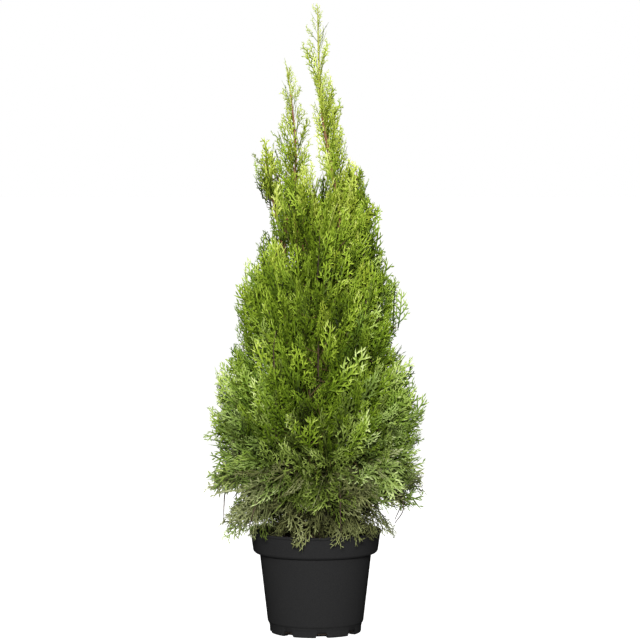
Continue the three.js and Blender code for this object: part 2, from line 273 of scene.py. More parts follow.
def patterned(name, stops, scale, rough, bump, depth, stretch=(1, 1, 1), detail=6, specular=0.3):
    """A material whose colour, roughness and bump all follow one noise, stretched as asked."""
    material = new_material(name, stops[0][1], 0.8, specular)
    shader = material.node_tree.nodes["Principled BSDF"]
    coordinates = add_node(material, "ShaderNodeTexCoord")
    mapping = add_node(material, "ShaderNodeMapping", Scale=stretch)
    grain = add_node(material, "ShaderNodeTexNoise", Scale=scale, Detail=detail, Roughness=NOISE_ROUGHNESS)
    colours = ramp(material, stops)
    gloss = add_node(material, "ShaderNodeMapRange", **{"To Min": rough[0], "To Max": rough[1]})
    relief = add_node(material, "ShaderNodeBump", Strength=bump, Distance=depth)
    for out_node, out_name, in_node, in_name in (
        (coordinates, "Object", mapping, "Vector"), (mapping, "Vector", grain, "Vector"),
        (grain, "Fac", colours, "Fac"), (colours, "Color", shader, "Base Color"),
        (grain, "Fac", gloss, "Value"), (gloss, "Result", shader, "Roughness"),
        (grain, "Fac", relief, "Height"), (relief, "Normal", shader, "Normal"),
    ):
        material.node_tree.links.new(out_node.outputs[out_name], in_node.inputs[in_name])
    return material


BARK = patterned(
    "bark",
    [(0.3, (0.018, 0.011, 0.007)), (0.5, (0.058, 0.036, 0.023)), (0.68, (0.12, 0.082, 0.056))],
    scale=90, stretch=(1, 1, 0.16), rough=(0.65, 0.95), bump=0.8, depth=0.0015,
)
YOUNG_BARK = patterned(
    "young_bark",
    [(0.3, (0.09, 0.035, 0.018)), (0.55, (0.22, 0.095, 0.048)), (0.75, (0.30, 0.17, 0.09))],
    scale=140, stretch=(1, 1, 0.3), rough=(0.5, 0.8), bump=0.5, depth=0.0006,
)
TWIG = patterned(
    "twig_bark",
    [(0.3, (0.035, 0.022, 0.008)), (0.55, (0.09, 0.06, 0.018)), (0.75, (0.13, 0.11, 0.03))],
    scale=120, rough=(0.5, 0.75), bump=0.3, depth=0.0004,
)
GREEN_SHOOT = patterned(
    "green_shoot",
    [(0.3, (0.20, 0.20, 0.02)), (0.55, (0.33, 0.36, 0.05)), (0.75, (0.42, 0.45, 0.10))],
    scale=160, rough=(0.45, 0.65), bump=0.3, depth=0.0004,
)
POT_PLASTIC = patterned(
    "pot_plastic",
    [(0.35, (0.0170, 0.0170, 0.0174)), (0.5, (0.0205, 0.0205, 0.0208)), (0.7, (0.025, 0.025, 0.025))],
    scale=900, detail=3, rough=(0.62, 0.75), bump=0.12, depth=0.0002, specular=0.0,
)
COMPOST = patterned(
    "compost",
    [(0.3, (0.010, 0.006, 0.004)), (0.5, (0.032, 0.020, 0.013)), (0.7, (0.085, 0.055, 0.035))],
    scale=260, rough=(0.85, 1.0), bump=0.8, depth=0.001,
)

# Leaf colours: a row for each zone of the plant from its skirt to its leaders, and cooler rows for its left
# and right sides, which are also paler there with painted side light. Each row runs from the base of a
# spray, darker with painted shade, to its newest tips.
LEAF_ROWS = {
    "skirt": [(0.014, 0.014, 0.005), (0.050, 0.054, 0.017), (0.13, 0.142, 0.048), (0.22, 0.24, 0.094),
              (0.34, 0.36, 0.17)],
    "low": [(0.013, 0.019, 0.002), (0.044, 0.065, 0.008), (0.100, 0.142, 0.020), (0.21, 0.28, 0.055),
            (0.38, 0.46, 0.14)],
    "mid": [(0.012, 0.021, 0.001), (0.041, 0.070, 0.0030), (0.098, 0.158, 0.008), (0.20, 0.29, 0.024),
            (0.37, 0.47, 0.085)],
    "high": [(0.018, 0.030, 0.001), (0.056, 0.090, 0.004), (0.135, 0.205, 0.011), (0.26, 0.355, 0.033),
             (0.44, 0.53, 0.11)],
    "leader": [(0.035, 0.050, 0.003), (0.105, 0.145, 0.008), (0.23, 0.29, 0.025), (0.38, 0.45, 0.075),
               (0.56, 0.62, 0.19)],
    "cool_sidelit_skirt": [(0.022, 0.022, 0.008), (0.072, 0.080, 0.028), (0.155, 0.178, 0.066), (0.28, 0.31, 0.13),
                   (0.46, 0.49, 0.27)],
    "cool_sidelit_low": [(0.022, 0.034, 0.005), (0.072, 0.108, 0.018), (0.155, 0.225, 0.045), (0.28, 0.37, 0.105),
                 (0.45, 0.54, 0.22)],
    "cool_sidelit_mid": [(0.020, 0.038, 0.003), (0.066, 0.118, 0.010), (0.18, 0.27, 0.036), (0.33, 0.435, 0.095),
                 (0.52, 0.61, 0.23)],
}
# Cool rows are also paler: painted side light on the crown's left and right sides.
COOL_SIDELIT_FROM, COOL_SIDELIT_ROWS = 5, 3  # the first cool row, the skirt's, and how many zones have one
SHADES = 5
LEAF_ROUGHNESS, LEAF_SPECULAR = 0.6, 0.12
LEAVES = [
    new_material(f"leaf_{row}_{shade + 1}", colour, LEAF_ROUGHNESS, LEAF_SPECULAR)
    for row, colours in LEAF_ROWS.items()
    for shade, colour in enumerate(colours)
]


# ---- spray templates

SCALLOP = 0.82  # a ribbon's width at the joints between scales, as a share of its full width
RIDGE, POINT = 0.3, 0.5  # height of a branchlet's ridge and length of its pointed tip, in widths
FORK_TURN = (0.6, 0.95)  # how far forks turn from their branchlet, in radians


def branchlet(start, heading, length, curl, width, lift, segment):
    """A scaly branchlet as a ridged ribbon with scalloped edges, in the plane of its spray."""
    count = max(2, int(round(length / segment)))
    t = np.linspace(0, 1, count + 1)
    angles = heading + curl * t
    step = length / count
    xs = start[0] + np.concatenate([[0], np.cumsum(np.sin(angles[:-1]))]) * step
    ys = start[1] + np.concatenate([[0], np.cumsum(np.cos(angles[:-1]))]) * step
    side = np.stack([np.cos(angles), -np.sin(angles)], -1)
    scallop = np.where(np.arange(count + 1) % 2 == 0, SCALLOP, 1.0)
    scallop[-2] = 1.0
    half = 0.5 * width * scallop
    rows = []
    for hand, rise in ((-1, 0.0), (0, RIDGE * width), (1, 0.0)):
        rows.append(np.stack([xs + hand * side[:, 0] * half, ys + hand * side[:, 1] * half,
                              np.full(count + 1, lift + rise)], -1))
    verts = np.stack([row[:-1] for row in rows], 1).reshape(-1, 3)
    beyond = POINT * width
    tip = [xs[-1] + math.sin(angles[-1]) * beyond, ys[-1] + math.cos(angles[-1]) * beyond, lift + 0.1 * width]
    verts = np.vstack([verts, [tip]])
    tris = []
    for k in range(count - 1):
        a, b = 3 * k, 3 * (k + 1)
        tris += [(a, a + 1, b + 1), (a, b + 1, b), (a + 1, a + 2, b + 2), (a + 1, b + 2, b + 1)]
    a, end = 3 * (count - 1), 3 * count
    tris += [(a, a + 1, end), (a + 1, a + 2, end)]
    return verts, np.array(tris), np.stack([xs, ys], -1), angles


def lozenge(start, heading, length, width, lift):
    """The smallest side shoot: four facets, widest past its middle."""
    ahead = np.array([math.sin(heading), math.cos(heading)])
    across = np.array([ahead[1], -ahead[0]])
    base = np.asarray(start)
    middle = base + 0.6 * length * ahead
    flat = [base, middle - 0.5 * width * across, middle, middle + 0.5 * width * across, base + length * ahead]
    heights = [lift, lift, lift + RIDGE * width, lift, lift + 0.05 * width]
    verts = np.column_stack([flat, heights])
    return verts, np.array([(0, 1, 2), (0, 2, 3), (1, 4, 2), (2, 4, 3)])


def part_way(line, share):
    """The segment of a line at a share of its length, and the point there."""
    at = share * (len(line) - 1)
    k = min(int(at), len(line) - 2)
    return k, line[k] + (at - k) * (line[k + 1] - line[k])


def make_template(rng, pairs, first, reach, spread, forks, fork_length, width, taper, segment):
    """A spray one unit long: a rachis, side branchlets on alternate sides, and short forks on those.

    There are this many pairs of branchlets from the share called first on. The lowest are as long as
    reach and turn from the rachis by spread, in radians, and the next ones shorten by taper. Each
    triangle has a tip share, 0 at the spray's base and 1 at its newest ends.
    """
    parts, shares = [], []

    def grow(start, heading, length, curl, scale, lift, base_share, tip_share):
        verts, tris, line, angles = branchlet(start, heading, length, curl, width * scale, lift, segment)
        parts.append((verts, tris))
        along = np.minimum(tris.min(1) // 3, len(line) - 2) / max(len(line) - 2, 1)
        shares.append(base_share + (tip_share - base_share) * along)
        return line, angles

    def fork_off(line, angles, length, lift, base_share):
        count = int(round(forks * length / reach + rng.uniform(-0.3, 0.3)))
        first_hand = rng.integers(0, 2)
        for j in range(count):
            share = 0.22 + 0.66 * (j + rng.uniform(0, 0.5)) / max(count, 1)
            k, start = part_way(line, share)
            turn = (1 if (j + first_hand) % 2 else -1) * rng.uniform(*FORK_TURN)
            length_here = fork_length * rng.uniform(0.7, 1.25)
            parts.append(lozenge(start, angles[k] + turn, length_here, 0.95 * width, lift))
            shares.append(np.full(4, base_share + (1 - base_share) * (0.3 + 0.7 * share)))

    sway = rng.uniform(-0.12, 0.12)
    rachis, headings = grow((0, 0), -sway, 1.0, 2 * sway, 1.05, 0.004, 0.0, 1.0)
    for i in range(2 * pairs):
        along = first + (0.95 - first) * (i + rng.uniform(-0.3, 0.3)) / (2 * pairs)
        k, start = part_way(rachis, along)
        hand = 1 if i % 2 else -1
        length = reach * (1 - along) ** taper * rng.uniform(0.75, 1.15) + 0.06
        heading = headings[k] + hand * spread * rng.uniform(0.85, 1.15)
        base_share = 0.15 + 0.5 * along
        line, angles = grow(start, heading, length, -hand * rng.uniform(0.1, 0.5), 1.0, 0.0,
                            base_share, 0.75 + 0.25 * along)
        fork_off(line, angles, length, -0.003, base_share + 0.1)
    verts, tris, base = [], [], 0
    for part_verts, part_tris in parts:
        verts.append(part_verts)
        tris.append(part_tris + base)
        base += len(part_verts)
    return np.concatenate(verts), np.concatenate(tris), np.concatenate(shares)


# Sprays by habit: broad fans in the body, open drooping ones in the skirt, slim plumes at the top and
# sprigs up the leaders. Each row has what make_template asks for, from pairs on.
HABITS = {
    "fan": (4, 0.16, 0.42, 0.74, 3.2, 0.125, 0.040, 0.7, 0.14),
    "open": (4, 0.18, 0.44, 0.68, 3.2, 0.115, 0.032, 0.5, 0.14),
    "plume": (4, 0.16, 0.34, 0.60, 2.6, 0.12, 0.041, 0.7, 0.13),
    "sprig": (3, 0.28, 0.28, 0.62, 2, 0.12, 0.038, 0.35, 0.14),
}
TEMPLATES_EACH = 8
template_rng = np.random.default_rng(SEED)
TEMPLATES = {
    habit: [make_template(template_rng, *shape) for _ in range(TEMPLATES_EACH)]
    for habit, shape in HABITS.items()
}


# ---- stems

UP = np.array([0.0, 0.0, 1.0])
FLARE_TOP = 0.200  # the trunk's root flare ends here
FLARE_CUTS, STEM_CUTS = 7, 28


def stem_line(name):
    """A stem's centre-line and radii, from just above its foot to just below its tip."""
    low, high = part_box(name)
    low, high = low.z + 0.0004, high.z - 0.003
    flare = np.linspace(low, FLARE_TOP, FLARE_CUTS, endpoint=False) if low < FLARE_TOP else np.array([low])
    above = np.linspace(max(low + 0.01, FLARE_TOP), high, STEM_CUTS)
    return cut_through(name, UP, np.concatenate([flare, above]))


STEMS = {name: stem_line(name) for name in ("trunk", "second_leader")}


def stem_points(name, heights):
    """Points on a stem's centre-line."""
    x, y, z = STEMS[name][0].T
    return np.stack([np.interp(heights, z, x), np.interp(heights, z, y), heights], -1)


def bough_line(name):
    """A bough's centre-line and radii, from its stem outwards."""
    verts, _ = node_arrays(name)
    low, high = verts[np.argmin(verts[:, 2])], verts[np.argmax(verts[:, 2])]
    return cuts_between(name, high - low, 5, trim=0.06)


def mass_line(name, start, drooping):
    """The limb that carries a mass on from its bough, through its middle to near its tip."""
    verts, _ = node_arrays(name)
    tip = verts[np.argmin(verts[:, 2])] if drooping else verts[np.argmax(verts[:, 2])]
    points, _ = cuts_between(name, tip - start, 6, trim=0.12)
    return resample(np.vstack([start, points[1:], 0.25 * points[-1] + 0.75 * tip]), 0.008)


# ---- twigs

TWIG_STEP = 0.018  # the most between two points of a twig
SPRAY_AHEAD, LINE_AHEAD = 0.55, 0.45  # how much a lead along the spray, or along the old line, counts
BEND = 0.35  # how long a twig keeps its first and its last direction, as a share of its span


class Twigs:
    """Twigs that branch from a limb: each new one leaves the line that best leads its way."""

    def __init__(self, points, tangents):
        self.points, self.tangents = list(points), list(tangents)
        self.lines = []

    def reach(self, target, direction):
        nodes, leads = np.array(self.points), np.array(self.tangents)
        gap = target - nodes
        distance = np.linalg.norm(gap, axis=1) + 1e-6
        along_new = (gap @ direction) / distance
        along_old = (gap * leads).sum(1) / distance
        best = int(np.argmin(distance * (1.7 - SPRAY_AHEAD * along_new - LINE_AHEAD * along_old)))
        start, span = nodes[best], distance[best]
        t = np.linspace(0, 1, int(span / TWIG_STEP) + 3)[:, None]
        handle = span * BEND * np.clip(along_new[best], 0.1, 1)
        leave = start + unit(leads[best] + 0.8 * gap[best] / span) * handle
        arrive = target - direction * handle
        line = ((1 - t) ** 3 * start + 3 * (1 - t) ** 2 * t * leave + 3 * (1 - t) * t ** 2 * arrive
                + t ** 3 * target)
        self.points.extend(line[1:])
        self.tangents.extend(unit(np.gradient(line, axis=0))[1:])
        self.lines.append(line)


# ---- where sprays grow

# How steeply sprays rise, in degrees above level, by height above the ground in metres.
RISE_HEIGHTS = (0.15, 0.20, 0.25, 0.30, 0.36, 0.46, 0.56, 0.68, 0.80, 1.10)
RISE_DEGREES = (-50, -30, -10, 4, 22, 44, 58, 68, 75, 82)
RISE_SPREAD, LOWEST_RISE, STEEPEST_RISE = 15, -75, 86

# Each tier's sprays. count is for each square metre of a mass's outside; shell is how far inside the
# surface most of them end, and deep the share of more that end further in; length is a spray's own;
# overhang is how far behind its mass a spray may start; edge_on is the share that stand edge-on to
# someone looking at the crown; lift bends a spray up along its length; up says how much the mass's upper
# sides count against its lower ones.
TIERS = {
    "skirt": dict(habit="open", count=2700, deep=0.30, length=(0.066, 0.116), edge_on=0.50,
                  lift=-0.10, overhang=0.045, up=-0.1, shell=(0.003, 0.024)),
    "lower": dict(habit="fan", count=3100, deep=0.32, length=(0.050, 0.086), edge_on=0.70,
                  lift=0.12, overhang=0.025, up=0.45, shell=(0.007, 0.030)),
    "middle": dict(habit="fan", count=3200, deep=0.32, length=(0.048, 0.082), edge_on=0.75,
                   lift=0.10, overhang=0.025, up=0.45, shell=(0.007, 0.030)),
    "upper": dict(habit="plume", count=3600, deep=0.32, length=(0.044, 0.078), edge_on=0.75,
                  lift=0.06, overhang=0.014, up=0.45, shell=(0.007, 0.030)),
    "tuft": dict(habit="plume", count=3000, deep=0.25, length=(0.036, 0.064), edge_on=0.4,
                 lift=0.06, overhang=0.004, up=0.45, shell=(0.003, 0.024)),
}
STRAYS, STRAY_DEPTH = 0.28, (-0.012, 0.003)  # the share of sprays that stand out of the crown, and how far
FURTHER_IN = (0.022, 0.050)
LEAST_INSIDE = 0.004  # how far inside its mass a spray's room to grow is measured from
CANDIDATES = 5  # places tried for each spray wanted
TURNED_IN, LEAST_WEIGHT = 0.25, 0.04  # how far in a face may turn before it has the least weight


def sample_tips(name, tier, rng):
    """Places for spray tips near the outside of a mass and some deeper in it, with how deep each is."""
    verts, tris = node_arrays(name)
    corners = verts[tris]
    cross = np.cross(corners[:, 1] - corners[:, 0], corners[:, 2] - corners[:, 0])
    area = np.linalg.norm(cross, axis=1) / 2
    normal = unit(cross)
    away = corners.mean(1) - [CROWN_X, 0, 0]
    away[:, 2] = 0
    facing = (normal * unit(unit(away) + tier["up"] * UP)).sum(1)
    weight = area * np.clip(facing + TURNED_IN, LEAST_WEIGHT, 1)
    wanted = int(tier["count"] * weight.sum() * (1 + tier["deep"]))
    many = CANDIDATES * wanted
    chosen = rng.choice(len(tris), many, p=weight / weight.sum())
    surface = (corners[chosen] * rng.dirichlet((1, 1, 1), many)[..., None]).sum(1)
    depth = rng.uniform(*tier["shell"], many)
    strays = rng.random(many) < STRAYS
    depth[strays] = rng.uniform(*STRAY_DEPTH, strays.sum())
    is_deep = rng.random(many) < tier["deep"] / (1 + tier["deep"])
    depth[is_deep] = rng.uniform(*FURTHER_IN, is_deep.sum())
    tips = surface - normal[chosen] * depth[:, None]
    anchors = surface - normal[chosen] * np.maximum(depth, LEAST_INSIDE)[:, None]
    return tips, anchors, depth, wanted


# Further sprays: close round the trunk behind each mass of a tier, and single masses' own, which fill the
# foot of the left tuft or droop past the pot's rim. How many, then the least and most of their tips'
# distance from the pot's axis and height above the ground, of their rise in degrees and their length.
EXTRA = {
    "skirt": (70, (0.026, 0.108), (0.170, 0.245), (-68, -8), (0.045, 0.075)),
    "lower": (26, (0.012, 0.085), (0.25, 0.50), (20, 65), (0.045, 0.070)),
    "middle": (22, (0.012, 0.065), (0.42, 0.68), (35, 75), (0.045, 0.070)),
    "upper": (12, (0.010, 0.040), (0.62, 0.78), (50, 80), (0.040, 0.060)),
    "upper_foliage_4": (30, (0.042, 0.098), (0.765, 0.868), (58, 82), (0.040, 0.062)),
    "skirt_foliage_4": (34, (0.112, 0.170), (0.160, 0.225), (-60, -20), (0.050, 0.080)),
    "skirt_foliage_6": (18, (0.124, 0.142), (0.156, 0.185), (-56, -34), (0.055, 0.080)),
    "skirt_foliage_7": (12, (0.124, 0.142), (0.156, 0.185), (-56, -34), (0.055, 0.080)),
}
EXTRA_DEPTH = 0.040  # how deep a tier's count as being, so they darken with painted shade; a single mass's own are in the open
EXTRA_SPREAD = 0.5  # how far round, in radians, they stand and point from their mass's middle


def extra_sprays(name, rows, rng):
    """Tips, directions and lengths of the further sprays that belong to a mass."""
    count, radii, heights, rises, lengths = rows
    verts, _ = node_arrays(name)
    middle = verts.mean(0) - [CROWN_X, 0, 0]
    azimuth = math.atan2(middle[1], middle[0]) + rng.uniform(-EXTRA_SPREAD, EXTRA_SPREAD, count)
    radius = rng.uniform(*radii, count)
    height = rng.uniform(*heights, count)
    tips = np.stack([radius * np.cos(azimuth), radius * np.sin(azimuth), height], -1)
    turned = azimuth + rng.normal(0, EXTRA_SPREAD, count)
    directions = pointing(turned, np.radians(rng.uniform(*rises, count)))
    return tips, directions, rng.uniform(*lengths, count)


def growth_directions(tips, axis_points, rng, spread):
    """Unit vectors that sprays ending at these tips grow along: outwards, and steeper with height."""
    away = tips[:, :2] - axis_points[:, :2]
    azimuth = np.arctan2(away[:, 1], away[:, 0]) + rng.normal(0, spread, len(tips))
    rise = np.interp(tips[:, 2], RISE_HEIGHTS, RISE_DEGREES) + rng.normal(0, RISE_SPREAD, len(tips))
    return pointing(azimuth, np.radians(np.clip(rise, LOWEST_RISE, STEEPEST_RISE)))


def pointing(azimuth, rise):
    """Unit vectors at these angles round the stem and above level."""
    return np.stack([np.cos(azimuth) * np.cos(rise), np.sin(azimuth) * np.cos(rise), np.sin(rise)], -1)


FAN_TURN = 0.38  # how far fans turn from face-on or edge-on, in radians


def fan_sides(directions, edge_on, rng):
    """The sideways direction of each fan: level for one seen face-on, in the plane of the stem if not."""
    level = unit(np.cross(directions, UP) + 1e-6)
    upright = np.cross(level, directions)
    turns = rng.normal(0, FAN_TURN, len(directions))
    turns[rng.random(len(directions)) < edge_on] += math.pi / 2
    return np.cos(turns)[:, None] * level + np.sin(turns)[:, None] * upright


def spread_out(points, spacing, wanted):
    """Indices of the first points that keep their distance from those already taken."""
    cells, kept = {}, []
    for i, point in enumerate(points):
        cell = tuple(int(c) for c in np.floor(point / spacing))
        near = [j for dx in (-1, 0, 1) for dy in (-1, 0, 1) for dz in (-1, 0, 1)
                for j in cells.get((cell[0] + dx, cell[1] + dy, cell[2] + dz), ())]
        if near and np.linalg.norm(points[near] - point, axis=1).min() < spacing:
            continue
        cells.setdefault(cell, []).append(i)
        kept.append(i)
        if len(kept) >= wanted:
            break
    return np.array(kept)


POT_HIGH, SOIL_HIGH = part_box("pot")[1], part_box("soil")[1]
INSIDE_RIM, OUTSIDE_RIM, ABOVE = 0.010, 0.0015, 0.001  # what sprays keep clear of the rim and the soil


def clear_of_pot(verts):
    """Whether none of a spray's vertices is in the pot's wall or in the soil."""
    radius, height = np.hypot(verts[:, 0], verts[:, 1]), verts[:, 2]
    in_pot = radius <= POT_HIGH.x - INSIDE_RIM
    in_wall = ~in_pot & (radius < POT_HIGH.x + OUTSIDE_RIM) & (height < POT_HIGH.z + ABOVE)
    in_soil = in_pot & (height < SOIL_HIGH.z + ABOVE)
    return not (in_wall | in_soil).any()


OVER_BOX, OVER_TOP = 0.008, 0.003  # how far a spray may pass the CAD box
LOWEST = np.array(cad_box[0]) - OVER_BOX
HIGHEST = np.array(cad_box[1]) + [OVER_BOX, OVER_BOX, OVER_TOP]


def in_bounds(verts):
    """Whether a spray keeps near enough to the CAD box."""
    return (verts > LOWEST).all() and (verts < HIGHEST).all()


# Gaps that let the sky through between the low boughs at the left and at the right: the middle (x, z),
# half the width and half the height of each, and the share of a spray that may cross one.
GAPS = ((-0.136, 0.243, 0.024, 0.011), (0.124, 0.220, 0.016, 0.013))
MOST_IN_GAP = 0.16


def clear_of_gaps(verts):
    """Whether a spray leaves the gaps open."""
    x, z = verts[:, 0], verts[:, 2]
    return all(
        (((x - gap_x) / half_width) ** 2 + ((z - gap_z) / half_height) ** 2 < 1).mean() < MOST_IN_GAP
        for gap_x, gap_z, half_width, half_height in GAPS
    )


def has_room(verts):
    """Whether a spray of a mass may stand where it does."""
    return in_bounds(verts) and clear_of_pot(verts) and clear_of_gaps(verts)


CUP, BOW = 0.28, 0.10  # how far sprays bend across and along
BASE_TONE, TIP_TONE = 0.25, 2.6  # a spray's shade at its base, darker with painted shade, and how many shades paler its newest ends are


def grow_sprays(soup, habit, allowed, bases, directions, sides, lengths, lift, zones, tones, rng):
    """Adds sprays to a soup, each in its zone's leaf colours, and says which were allowed."""
    count = len(bases)
    cup, bow = rng.normal(0, CUP, count), rng.normal(0, BOW, count)
    styles = rng.integers(0, TEMPLATES_EACH, count)
    normals = np.cross(sides, directions)
    built = np.zeros(count, bool)
    for style, (verts, tris, shares) in enumerate(TEMPLATES[habit]):
        x, y, z = verts.T
        for i in np.flatnonzero(styles == style):
            bend = cup[i] * x ** 2 + bow[i] * y ** 2 + z
            shape = (x[:, None] * sides[i] + y[:, None] * directions[i]
                     + bend[:, None] * normals[i] + (lift * y ** 2)[:, None] * UP)
            placed = bases[i] + lengths[i] * shape
            if allowed(placed):
                shade = np.clip(np.round(BASE_TONE + TIP_TONE * shares + tones[i]), 0, SHADES - 1)
                soup.add(placed, tris, zones[i] * SHADES + shade.astype(np.int32))
                built[i] = True
    return built


TONE_SPREAD = 0.6  # how far sprays differ in tone, in shades
CLUMPS_PER_METRE, CLUMP_TONE = 26, 1.8  # clumps of sprays share a lighter or darker tone
PAINTED_SHADE_AND_AGE_FROM, PAINTED_SHADE_AND_AGE = 0.005, 36  # sprays this far in from the shell's outside darken, in shades a metre: painted shade deep in the crown, partly older inner foliage
PALEST = 0.95  # the most that a spray is paler than the common tone, in shades


def tones_of(tips, depth, tier, rng):
    """How many shades paler or darker than the common tone each spray is."""
    clumps = np.array([noise.noise(Vector(tip) * CLUMPS_PER_METRE) for tip in tips])
    # deeper sprays darken: painted shade inside the crown, partly older foliage there
    darker = PAINTED_SHADE_AND_AGE * np.maximum(depth - tier["shell"][0] - PAINTED_SHADE_AND_AGE_FROM, 0)
    return np.minimum(rng.normal(0, TONE_SPREAD, len(tips)) + CLUMP_TONE * clumps - darker, PALEST)


SWING, TUFT_SWING = 0.35, 0.5  # how far round sprays point from straight outwards, in radians
SKIRT_TUCK, TUCKED_RADIUS = 0.232, 0.166  # below this height the crown keeps within this radius
LEFT_DROOP = 0.205  # but its left side comes out again below this height
OPEN_FROM, OPENNESS = 0.135, 0.50  # the skirt is opened by this share beyond this radius
TUFT_FOOT, TUFT_REACH = 0.785, 0.024  # the tuft's sprays end above this height and start this near its limb
SHORTEST = 0.75  # of the least length of a tier's sprays: where there is less room, none grows
SPACING = 0.6  # between neighbouring tips, against an even spread


def limb_distances(points, limb):
    return np.array([np.linalg.norm(limb[0] - point, axis=1).min() for point in points])


def suits_crown(tier_name, tips, bases, limb, rng):
    """Which sprays keep the outline of the crown's foot, of its skirt and of the left tuft."""
    suits = (tips[:, 2] > SKIRT_TUCK) | (np.hypot(tips[:, 0] - CROWN_X, tips[:, 1]) < TUCKED_RADIUS)
    suits |= (tips[:, 0] < 0) & (tips[:, 2] < LEFT_DROOP)
    if tier_name == "skirt":
        suits &= (np.hypot(*tips[:, :2].T) < OPEN_FROM) | (rng.random(len(tips)) > OPENNESS)
    if tier_name == "tuft":
        suits &= (tips[:, 2] > TUFT_FOOT) & (limb_distances(bases, limb) < TUFT_REACH)
    return suits


def grow_mass(name, tier_name, limb, twig_lines):
    """The sprays of one mass that grows on from a bough, with the twigs that carry them."""
    tier = TIERS[tier_name]
    rng = np.random.default_rng([SEED, *name.encode()])
    tips, anchors, depth, wanted = sample_tips(name, tier, rng)
    if tier_name == "tuft":
        directions = growth_directions(tips, stem_points("second_leader", tips[:, 2]), rng, TUFT_SWING)
    else:
        directions = growth_directions(tips, np.array([[CROWN_X, 0]]), rng, SWING)
    room = surface_distance(envelope(name), anchors, -directions, 0.0) + np.maximum(-depth, 0)
    lengths = np.minimum(rng.uniform(*tier["length"], len(tips)), room + tier["overhang"])
    suits = suits_crown(tier_name, tips, tips - lengths[:, None] * directions, limb, rng)
    if tier_name == "skirt":
        wanted = int(wanted * (1 - OPENNESS / 2))
    suits = np.flatnonzero((lengths > SHORTEST * tier["length"][0]) & suits)
    kept = suits[spread_out(tips[suits], SPACING / math.sqrt(tier["count"]), wanted)]
    tips, directions, lengths, depth = tips[kept], directions[kept], lengths[kept], depth[kept]
    for key, extra_depth in ((tier_name, EXTRA_DEPTH), (name, 0.0)):
        if key in EXTRA:
            more, ways, spans = extra_sprays(name, EXTRA[key], rng)
            tips, directions = np.vstack([tips, more]), np.vstack([directions, ways])
            lengths = np.append(lengths, spans)
            depth = np.append(depth, np.full(len(more), extra_depth))
    bases = tips - lengths[:, None] * (directions + tier["lift"] * UP)
    tones = tones_of(tips, depth, tier, rng)
    soup = Soup()
    built = grow_sprays(
        soup, tier["habit"], has_room, bases, directions, fan_sides(directions, tier["edge_on"], rng),
        lengths, tier["lift"], zone_of(tips, rng), tones, rng,
    )
    twigs = Twigs(*limb[:2])
    for i in np.argsort(limb_distances(bases, limb)):
        if built[i]:
            twigs.reach(bases[i], directions[i])
    twig_lines.extend(twigs.lines)
    return soup


# Shoots up a leader: the stem each mass follows, the step between shoots, the least and most length of
# one and its share of the way to the surface, and how steeply they rise in degrees.
LEADERS = {
    "leader_tip_foliage": ("trunk", 0.0066, (0.022, 0.075), (0.85, 1.5), 60),
    "leader_foliage": ("trunk", 0.0021, (0.034, 0.074), (0.75, 1.45), 71),
    "second_leader_foliage": ("second_leader", 0.0048, (0.030, 0.095), (1.1, 2.2), 64),
}
FAR = 0.25  # outside any mass, seen from its stem
GOLDEN_TURN = 2.39996
TOP_SHOOT, SHOOT_TAPER = 0.018, 0.34  # the longest shoot at the very top, and how it grows downwards
BARE_PART, LEAFY_PART = (0.1, 0.5), 0.03  # what share of a shoot is bare, beyond the length that never is
TOP_SPRAY_DOWN = 0.022  # the spray at the tip starts this far below the stem's top
TOP_SPRAY_SPARE, BURIED_TOP = 1.04, 0.03  # its length against its room, and in the mass that isn't the tip
LEADER_LIFT, LEADER_TONE = 0.05, 0.3
BELOW_MASS, BELOW_TOP = 0.020, 0.012  # shoots start this far under their mass and end under the top
LOWEST_SHOOT, STEEPEST_SHOOT, SHOOT_SPREAD = 25, 84, 9  # of their rise, in degrees
SHORTEST_TWIG = 0.002  # a bare part no longer than this shows no twig


def grow_leader(name, twig_lines):
    """Slender shoots that spiral up a leader and reach out to its mass's surface."""
    stem, step, limits, spare, steepness = LEADERS[name]
    rng = np.random.default_rng([SEED, *name.encode()])
    low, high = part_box(name)
    stem_top = STEMS[stem][0][-1][2]
    heights = np.arange(low.z - BELOW_MASS, min(high.z, stem_top) - BELOW_TOP, step)
    heights = heights + rng.uniform(-0.4, 0.4, len(heights)) * step
    roots = stem_points(stem, heights)
    azimuth = np.arange(len(heights)) * GOLDEN_TURN + rng.normal(0, 0.3, len(heights))
    rise = np.clip(rng.normal(steepness, SHOOT_SPREAD, len(heights)), LOWEST_SHOOT, STEEPEST_SHOOT)
    directions = pointing(azimuth, np.radians(rise))
    spans = FAR - surface_distance(envelope(name), roots + FAR * directions, -directions, FAR)
    lengths = np.clip(spans * rng.uniform(*spare, len(spans)), *limits)
    lengths = np.minimum(lengths, TOP_SHOOT + SHOOT_TAPER * (stem_top - heights))
    starts = rng.uniform(*BARE_PART, len(spans)) * np.maximum(lengths - LEAFY_PART, 0)
    bases = roots + starts[:, None] * directions
    lengths = lengths - starts
    top = stem_points(stem, stem_top - TOP_SPRAY_DOWN)
    bases = np.vstack([bases, top])
    directions = np.vstack([directions, unit(STEMS[stem][0][-1] - top)])
    top_length = BURIED_TOP if name == "leader_foliage" else TOP_SPRAY_SPARE * (high.z - top[2])
    lengths = np.append(lengths, top_length)
    soup = Soup()
    built = grow_sprays(
        soup, "sprig", in_bounds, bases, directions, fan_sides(directions, 0.5, rng), lengths, LEADER_LIFT,
        zone_of(bases + 0.02 * UP, rng), rng.normal(LEADER_TONE, 0.5, len(bases)), rng,
    )
    for i in np.flatnonzero(built[:-1]):
        if starts[i] > SHORTEST_TWIG:
            twig_lines.append(np.linspace(roots[i], bases[i], 3))
    return soup


ZONE_HEIGHTS = (0.195, 0.31, 0.46, 0.69, 0.88)
ZONE_MIX = 0.33  # how far the borders between zones are mixed, in zones
# Sprays out to the left and right of the crown's middle take the cool rows, paler with painted side light.
SIDELIT_INNER, SIDELIT_OUTER, MOST_SIDELIT = 0.055, 0.150, 0.85  # cool, side-lit sprays grow commoner between these distances
